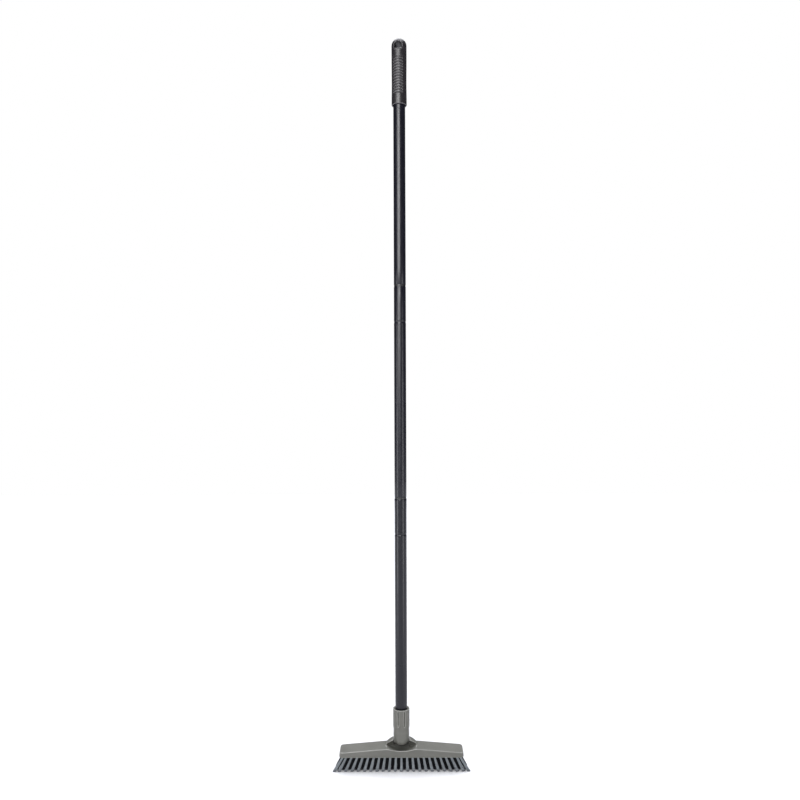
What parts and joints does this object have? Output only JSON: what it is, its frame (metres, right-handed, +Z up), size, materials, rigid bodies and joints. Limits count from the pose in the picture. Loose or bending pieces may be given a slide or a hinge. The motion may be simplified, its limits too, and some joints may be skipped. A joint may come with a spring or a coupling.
{
  "type": "long-handled floor brush",
  "caption": "Stiff floor and carpet brush: a screwed sectional steel pole with a ribbed grip and hanging eye, in a fluted socket that tilts on a block of flared bristle tufts.",
  "frame": {"origin": "on the floor under the pole's axis, in the middle of the bristles' footprint", "axes": "+Z up the pole, +X along the brush block, -Y the front, which the pole tilts towards"},
  "size_m": [0.2526, 0.0523, 1.344],
  "materials": {
    "olive_plastic": "satin moulded",
    "bristle": "stiff crimped filament",
    "dark_bristle": "stiff crimped filament",
    "coated_tube": "satin black coating",
    "grip_plastic": "fine moulded texture",
    "black_nylon": "moulded",
    "steel": "drawn wire"
  },
  "bodies": {
    "head": {"brush_block": "olive_plastic", "tuft_row_1": "bristle", "tuft_row_2": "dark_bristle", "tuft_row_3": "dark_bristle", "tuft_row_4": "dark_bristle", "tuft_row_5": "bristle", "tuft_staples": "steel", "pivot_pin": "steel", "pivot_washers": "black_nylon"},
    "socket": {"handle_socket": "olive_plastic"},
    "socket_ring": {"socket_washer": "black_nylon"},
    "lower_section": {"pole_tip": "black_nylon", "lower_tube": "coated_tube", "lower_nut": "black_nylon"},
    "lower_ring": {"lower_washer": "black_nylon"},
    "middle_section": {"middle_plug": "black_nylon", "middle_tube": "coated_tube", "middle_nut": "black_nylon"},
    "upper_ring": {"upper_washer": "black_nylon"},
    "upper_section": {"upper_plug": "black_nylon", "upper_tube": "coated_tube", "hand_grip": "grip_plastic"}
  },
  "joints": [
    {"name": "socket_tilt", "type": "hinge", "parent": "head", "child": "socket", "pos_m": [0, 0.005, 0.0455], "axis": [1, 0, 0], "range_deg": [0, 55]},
    {"name": "pole_lift", "type": "slide", "parent": "socket", "child": "socket_ring", "axis": [0, 0, 1], "range_m": [0, 0.028]},
    {"name": "pole_turn", "type": "hinge", "parent": "socket_ring", "child": "lower_section", "pos_m": [0, 0, 0.098], "axis": [0, 0, 1], "range_deg": [0, 1980]},
    {"name": "middle_lift", "type": "slide", "parent": "lower_section", "child": "lower_ring", "axis": [0, 0, 1], "range_m": [0, 0.028]},
    {"name": "middle_turn", "type": "hinge", "parent": "lower_ring", "child": "middle_section", "pos_m": [0, 0, 0.495], "axis": [0, 0, 1], "range_deg": [0, 1980]},
    {"name": "upper_lift", "type": "slide", "parent": "middle_section", "child": "upper_ring", "axis": [0, 0, 1], "range_m": [0, 0.028]},
    {"name": "upper_turn", "type": "hinge", "parent": "upper_ring", "child": "upper_section", "pos_m": [0, 0, 0.887], "axis": [0, 0, 1], "range_deg": [0, 1980]}
  ],
  "couplings": [
    {"joint": "pole_lift", "follows": "pole_turn", "m_per_rad": 0.00080851},
    {"joint": "middle_lift", "follows": "middle_turn", "m_per_rad": 0.00080851},
    {"joint": "upper_lift", "follows": "upper_turn", "m_per_rad": 0.00080851}
  ]
}
